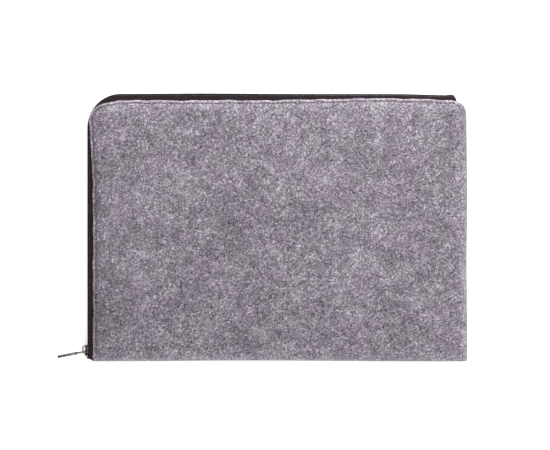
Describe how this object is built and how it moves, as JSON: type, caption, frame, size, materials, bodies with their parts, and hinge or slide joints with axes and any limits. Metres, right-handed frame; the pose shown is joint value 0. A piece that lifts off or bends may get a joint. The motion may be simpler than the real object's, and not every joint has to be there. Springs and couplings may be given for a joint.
{
  "type": "laptop sleeve",
  "caption": "Flat felt laptop sleeve with rolled seams on one side and the bottom, and a coil zip with a long puller round the other side and the top.",
  "frame": {"origin": "middle of the back panel's resting face", "axes": "+X along the long side, away from the zipped short side; +Y towards the zipped long side; +Z out of the front panel"},
  "size_m": [0.4102, 0.268, 0.02],
  "materials": {
    "felt": "heathered grey wool felt",
    "zip_tape": "woven polyester tape, near black",
    "zip_coil": "nylon coil, near black",
    "thread": "grey sewing thread",
    "plated_zinc": "nickel-plated zinc, darkened"
  },
  "bodies": {
    "sleeve": {"front_panel": "felt", "front_side_edge": "felt", "front_bottom_edge": "felt", "back_panel": "felt", "back_side_edge": "felt", "back_bottom_edge": "felt", "front_zip_tape_lower": "zip_tape", "front_zip_tape_end": "zip_tape", "back_zip_tape_side": "zip_tape", "back_zip_tape_bend": "zip_tape", "back_zip_tape_top": "zip_tape", "front_zip_coil_lower": "zip_coil", "front_zip_coil_end": "zip_coil", "back_zip_coil": "zip_coil", "front_zip_stitching_lower": "thread", "front_zip_stitching_end": "thread", "back_zip_stitching": "thread", "closing_seam_stitching": "thread", "front_top_stop": "plated_zinc", "back_top_stop": "plated_zinc", "bottom_stop": "plated_zinc"},
    "front_corner": {"front_panel_corner": "felt", "front_zip_tape_side": "zip_tape", "front_zip_tape_bend": "zip_tape", "front_zip_tape_top": "zip_tape", "front_zip_coil_corner": "zip_coil", "front_zip_stitching_corner": "thread"},
    "slider": {"slider_body": "plated_zinc"},
    "puller": {"puller": "plated_zinc"}
  },
  "joints": [
    {"name": "front_corner_opening", "type": "hinge", "parent": "sleeve", "child": "front_corner", "pos_m": [-0.1845, -0.075, 0.02], "axis": [0.8094, 0.5872, 0], "range_deg": [0, 65]},
    {"name": "slider_travel", "type": "slide", "parent": "sleeve", "child": "slider", "axis": [0, 1, 0], "range_m": [0, 0.215]},
    {"name": "puller_swing", "type": "hinge", "parent": "slider", "child": "puller", "pos_m": [-0.1929, -0.12435, 0.01], "axis": [0, 0, 1], "range_deg": [-99, 77]}
  ]
}
